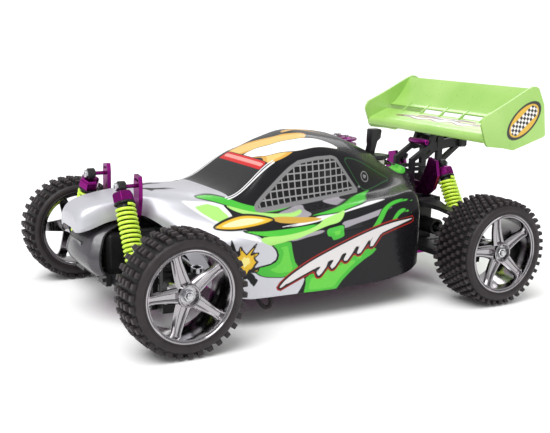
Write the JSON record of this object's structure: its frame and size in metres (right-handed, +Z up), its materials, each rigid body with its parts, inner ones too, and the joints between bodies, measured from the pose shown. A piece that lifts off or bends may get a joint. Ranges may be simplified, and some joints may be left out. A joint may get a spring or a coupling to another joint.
{
  "type": "rc buggy",
  "caption": "Radio-controlled nitro off-road buggy with sprung double-wishbone suspension, steered front wheels, painted body shell and rear wing.",
  "frame": {"origin": "on the ground under the middle of the car, halfway along its length", "axes": "+Z up, -Y towards the front of the car, +X towards its left side"},
  "size_m": [0.256, 0.3964, 0.1715],
  "materials": {
    "anodised": "purple anodised, satin",
    "black_plastic": "moulded nylon",
    "grey_plastic": "glossy dark grey",
    "rubber": "matt moulded rubber",
    "chrome": "plated plastic, dark chrome",
    "steel": "turned",
    "cast_alloy": "cast",
    "spring_lime": "fluorescent yellow-green",
    "wing_green": "glossy, slightly translucent",
    "body_paint": "clear-coated flame livery over black and silver",
    "tank_plastic": "milky"
  },
  "bodies": {
    "chassis": {"chassis_plate": "anodised", "front_bumper": "grey_plastic", "front_gearbox": "black_plastic", "rear_gearbox": "black_plastic", "front_shock_tower": "anodised", "rear_shock_tower": "anodised", "body_shell": "body_paint", "wing_mount": "black_plastic", "wing": "wing_green", "engine_block": "cast_alloy", "cooling_head": "anodised", "air_filter": "rubber", "exhaust_pipe": "steel", "fuel_tank": "tank_plastic", "radio_box": "black_plastic", "steering_servo": "black_plastic", "centre_gearbox": "black_plastic"},
    "fuel_lid": {"fuel_tank_lid": "black_plastic"},
    "drivetrain": {"spur_gear": "steel"},
    "steering_link": {"steering_link": "anodised"},
    "front_left_lower_arm": {"front_left_lower_arm": "black_plastic"},
    "front_left_upper_arm": {"front_left_upper_arm": "black_plastic"},
    "front_left_drive_axle": {"front_left_drive_axle": "steel"},
    "front_left_hub": {"front_left_hub": "black_plastic"},
    "front_left_shock_body": {"front_left_shock_body": "anodised", "front_left_shock_spring": "spring_lime"},
    "front_left_shock_shaft": {"front_left_shock_shaft": "black_plastic"},
    "front_left_wheel": {"front_left_rim": "chrome", "front_left_tyre": "rubber"},
    "front_left_knuckle": {"front_left_knuckle": "black_plastic"},
    "left_tie_rod": {"left_tie_rod": "steel"},
    "rear_left_lower_arm": {"rear_left_lower_arm": "black_plastic"},
    "rear_left_upper_arm": {"rear_left_upper_arm": "black_plastic"},
    "rear_left_drive_axle": {"rear_left_drive_axle": "steel"},
    "rear_left_hub": {"rear_left_hub": "black_plastic"},
    "rear_left_shock_body": {"rear_left_shock_body": "anodised", "rear_left_shock_spring": "spring_lime"},
    "rear_left_shock_shaft": {"rear_left_shock_shaft": "black_plastic"},
    "rear_left_wheel": {"rear_left_rim": "chrome", "rear_left_tyre": "rubber"},
    "front_right_lower_arm": {"front_right_lower_arm": "black_plastic"},
    "front_right_upper_arm": {"front_right_upper_arm": "black_plastic"},
    "front_right_drive_axle": {"front_right_drive_axle": "steel"},
    "front_right_hub": {"front_right_hub": "black_plastic"},
    "front_right_shock_body": {"front_right_shock_body": "anodised", "front_right_shock_spring": "spring_lime"},
    "front_right_shock_shaft": {"front_right_shock_shaft": "black_plastic"},
    "front_right_wheel": {"front_right_rim": "chrome", "front_right_tyre": "rubber"},
    "front_right_knuckle": {"front_right_knuckle": "black_plastic"},
    "right_tie_rod": {"right_tie_rod": "steel"},
    "rear_right_lower_arm": {"rear_right_lower_arm": "black_plastic"},
    "rear_right_upper_arm": {"rear_right_upper_arm": "black_plastic"},
    "rear_right_drive_axle": {"rear_right_drive_axle": "steel"},
    "rear_right_hub": {"rear_right_hub": "black_plastic"},
    "rear_right_shock_body": {"rear_right_shock_body": "anodised", "rear_right_shock_spring": "spring_lime"},
    "rear_right_shock_shaft": {"rear_right_shock_shaft": "black_plastic"},
    "rear_right_wheel": {"rear_right_rim": "chrome", "rear_right_tyre": "rubber"}
  },
  "joints": [
    {"name": "fuel_lid_hinge", "type": "hinge", "parent": "chassis", "child": "fuel_lid", "pos_m": [0.014, 0.08125, 0.107], "axis": [-1, 0, 0], "range_deg": [0, 80]},
    {"name": "drivetrain_spin", "type": "hinge", "parent": "chassis", "child": "drivetrain", "pos_m": [0, 0.02225, 0.048], "axis": [0, 1, 0], "continuous": true},
    {"name": "front_left_suspension", "type": "hinge", "parent": "chassis", "child": "front_left_lower_arm", "pos_m": [0.03, -0.15525, 0.033], "axis": [0, -1, 0], "range_deg": [0, 13], "stiffness_Nm_per_rad": 1, "springref_deg": -28.65},
    {"name": "front_left_upper_arm_hinge", "type": "hinge", "parent": "chassis", "child": "front_left_upper_arm", "pos_m": [0.03, -0.15525, 0.066], "axis": [0, -1, 0], "range_deg": [0, 13]},
    {"name": "front_left_drive_axle_swing", "type": "hinge", "parent": "chassis", "child": "front_left_drive_axle", "pos_m": [0.036, -0.15525, 0.048], "axis": [0, -1, 0], "range_deg": [0, 13]},
    {"name": "front_left_hub_hinge", "type": "hinge", "parent": "front_left_lower_arm", "child": "front_left_hub", "pos_m": [0.08578, -0.15525, 0.028], "axis": [0, -1, 0], "range_deg": [-13, 0]},
    {"name": "front_left_shock_hinge", "type": "hinge", "parent": "chassis", "child": "front_left_shock_body", "pos_m": [0.0325, -0.16675, 0.1015], "axis": [0, -1, 0], "range_deg": [0, 2.09]},
    {"name": "front_left_shock_slide", "type": "slide", "parent": "front_left_shock_body", "child": "front_left_shock_shaft", "axis": [-0.4864, 0, 0.8737], "range_m": [0, 0.00832], "deforming": ["front_left_shock_spring"]},
    {"name": "steer_left", "type": "hinge", "parent": "front_left_hub", "child": "front_left_knuckle", "pos_m": [0.09178, -0.15525, 0.043], "axis": [0, 0, 1], "range_deg": [-20, 20]},
    {"name": "front_left_wheel_spin", "type": "hinge", "parent": "front_left_knuckle", "child": "front_left_wheel", "pos_m": [0.112, -0.15525, 0.043], "axis": [1, 0, 0], "continuous": true},
    {"name": "rear_left_suspension", "type": "hinge", "parent": "chassis", "child": "rear_left_lower_arm", "pos_m": [0.03, 0.11975, 0.033], "axis": [0, -1, 0], "range_deg": [0, 13], "stiffness_Nm_per_rad": 1, "springref_deg": -28.65},
    {"name": "rear_left_upper_arm_hinge", "type": "hinge", "parent": "chassis", "child": "rear_left_upper_arm", "pos_m": [0.03, 0.11975, 0.07], "axis": [0, -1, 0], "range_deg": [0, 13]},
    {"name": "rear_left_drive_axle_swing", "type": "hinge", "parent": "chassis", "child": "rear_left_drive_axle", "pos_m": [0.034, 0.11975, 0.048], "axis": [0, -1, 0], "range_deg": [0, 13]},
    {"name": "rear_left_hub_hinge", "type": "hinge", "parent": "rear_left_lower_arm", "child": "rear_left_hub", "pos_m": [0.07975, 0.11975, 0.028], "axis": [0, -1, 0], "range_deg": [-13, 0]},
    {"name": "rear_left_shock_hinge", "type": "hinge", "parent": "chassis", "child": "rear_left_shock_body", "pos_m": [0.028, 0.13175, 0.101], "axis": [0, -1, 0], "range_deg": [0, 2.38]},
    {"name": "rear_left_shock_slide", "type": "slide", "parent": "rear_left_shock_body", "child": "rear_left_shock_shaft", "axis": [-0.5279, 0, 0.8493], "range_m": [0, 0.00805], "deforming": ["rear_left_shock_spring"]},
    {"name": "rear_left_wheel_spin", "type": "hinge", "parent": "rear_left_hub", "child": "rear_left_wheel", "pos_m": [0.106, 0.11975, 0.043], "axis": [1, 0, 0], "continuous": true},
    {"name": "front_right_suspension", "type": "hinge", "parent": "chassis", "child": "front_right_lower_arm", "pos_m": [-0.03, -0.15525, 0.033], "axis": [0, 1, 0], "range_deg": [0, 13], "stiffness_Nm_per_rad": 1, "springref_deg": -28.65},
    {"name": "front_right_upper_arm_hinge", "type": "hinge", "parent": "chassis", "child": "front_right_upper_arm", "pos_m": [-0.03, -0.15525, 0.066], "axis": [0, 1, 0], "range_deg": [0, 13]},
    {"name": "front_right_drive_axle_swing", "type": "hinge", "parent": "chassis", "child": "front_right_drive_axle", "pos_m": [-0.036, -0.15525, 0.048], "axis": [0, 1, 0], "range_deg": [0, 13]},
    {"name": "front_right_hub_hinge", "type": "hinge", "parent": "front_right_lower_arm", "child": "front_right_hub", "pos_m": [-0.08578, -0.15525, 0.028], "axis": [0, 1, 0], "range_deg": [-13, 0]},
    {"name": "front_right_shock_hinge", "type": "hinge", "parent": "chassis", "child": "front_right_shock_body", "pos_m": [-0.0325, -0.16675, 0.1015], "axis": [0, 1, 0], "range_deg": [0, 2.09]},
    {"name": "front_right_shock_slide", "type": "slide", "parent": "front_right_shock_body", "child": "front_right_shock_shaft", "axis": [0.4864, 0, 0.8737], "range_m": [0, 0.00832], "deforming": ["front_right_shock_spring"]},
    {"name": "steer_right", "type": "hinge", "parent": "front_right_hub", "child": "front_right_knuckle", "pos_m": [-0.09178, -0.15525, 0.043], "axis": [0, 0, 1], "range_deg": [-20, 20]},
    {"name": "front_right_wheel_spin", "type": "hinge", "parent": "front_right_knuckle", "child": "front_right_wheel", "pos_m": [-0.112, -0.15525, 0.043], "axis": [1, 0, 0], "continuous": true},
    {"name": "rear_right_suspension", "type": "hinge", "parent": "chassis", "child": "rear_right_lower_arm", "pos_m": [-0.03, 0.11975, 0.033], "axis": [0, 1, 0], "range_deg": [0, 13], "stiffness_Nm_per_rad": 1, "springref_deg": -28.65},
    {"name": "rear_right_upper_arm_hinge", "type": "hinge", "parent": "chassis", "child": "rear_right_upper_arm", "pos_m": [-0.03, 0.11975, 0.07], "axis": [0, 1, 0], "range_deg": [0, 13]},
    {"name": "rear_right_drive_axle_swing", "type": "hinge", "parent": "chassis", "child": "rear_right_drive_axle", "pos_m": [-0.034, 0.11975, 0.048], "axis": [0, 1, 0], "range_deg": [0, 13]},
    {"name": "rear_right_hub_hinge", "type": "hinge", "parent": "rear_right_lower_arm", "child": "rear_right_hub", "pos_m": [-0.07975, 0.11975, 0.028], "axis": [0, 1, 0], "range_deg": [-13, 0]},
    {"name": "rear_right_shock_hinge", "type": "hinge", "parent": "chassis", "child": "rear_right_shock_body", "pos_m": [-0.028, 0.13175, 0.101], "axis": [0, 1, 0], "range_deg": [0, 2.38]},
    {"name": "rear_right_shock_slide", "type": "slide", "parent": "rear_right_shock_body", "child": "rear_right_shock_shaft", "axis": [0.5279, 0, 0.8493], "range_m": [0, 0.00805], "deforming": ["rear_right_shock_spring"]},
    {"name": "rear_right_wheel_spin", "type": "hinge", "parent": "rear_right_hub", "child": "rear_right_wheel", "pos_m": [-0.106, 0.11975, 0.043], "axis": [1, 0, 0], "continuous": true},
    {"name": "steering_link_slide", "type": "slide", "parent": "chassis", "child": "steering_link", "axis": [1, 0, 0], "range_m": [-0.0072, 0.0072]},
    {"name": "left_tie_rod_swing", "type": "hinge", "parent": "steering_link", "child": "left_tie_rod", "pos_m": [0.036, -0.13475, 0.056], "axis": [0, -1, 0], "range_deg": [0, 13]},
    {"name": "right_tie_rod_swing", "type": "hinge", "parent": "steering_link", "child": "right_tie_rod", "pos_m": [-0.036, -0.13475, 0.056], "axis": [0, 1, 0], "range_deg": [0, 13]}
  ],
  "couplings": [
    {"joint": "front_left_upper_arm_hinge", "follows": "front_left_suspension", "ratio": 1},
    {"joint": "front_left_drive_axle_swing", "follows": "front_left_suspension", "ratio": 1},
    {"joint": "front_left_hub_hinge", "follows": "front_left_suspension", "ratio": -1},
    {"joint": "front_left_shock_hinge", "follows": "front_left_suspension", "ratio": 0.15968},
    {"joint": "front_left_shock_slide", "follows": "front_left_suspension", "m_per_rad": 0.036649},
    {"joint": "rear_left_upper_arm_hinge", "follows": "rear_left_suspension", "ratio": 1},
    {"joint": "rear_left_drive_axle_swing", "follows": "rear_left_suspension", "ratio": 1},
    {"joint": "rear_left_hub_hinge", "follows": "rear_left_suspension", "ratio": -1},
    {"joint": "rear_left_shock_hinge", "follows": "rear_left_suspension", "ratio": 0.18268},
    {"joint": "rear_left_shock_slide", "follows": "rear_left_suspension", "m_per_rad": 0.035484},
    {"joint": "front_right_upper_arm_hinge", "follows": "front_right_suspension", "ratio": 1},
    {"joint": "front_right_drive_axle_swing", "follows": "front_right_suspension", "ratio": 1},
    {"joint": "front_right_hub_hinge", "follows": "front_right_suspension", "ratio": -1},
    {"joint": "front_right_shock_hinge", "follows": "front_right_suspension", "ratio": 0.15968},
    {"joint": "front_right_shock_slide", "follows": "front_right_suspension", "m_per_rad": 0.036649},
    {"joint": "rear_right_upper_arm_hinge", "follows": "rear_right_suspension", "ratio": 1},
    {"joint": "rear_right_drive_axle_swing", "follows": "rear_right_suspension", "ratio": 1},
    {"joint": "rear_right_hub_hinge", "follows": "rear_right_suspension", "ratio": -1},
    {"joint": "rear_right_shock_hinge", "follows": "rear_right_suspension", "ratio": 0.18268},
    {"joint": "rear_right_shock_slide", "follows": "rear_right_suspension", "m_per_rad": 0.035484},
    {"joint": "steer_right", "follows": "steer_left", "ratio": 1},
    {"joint": "steering_link_slide", "follows": "steer_left", "m_per_rad": -0.020086},
    {"joint": "left_tie_rod_swing", "follows": "front_left_suspension", "ratio": 1},
    {"joint": "right_tie_rod_swing", "follows": "front_right_suspension", "ratio": 1}
  ]
}
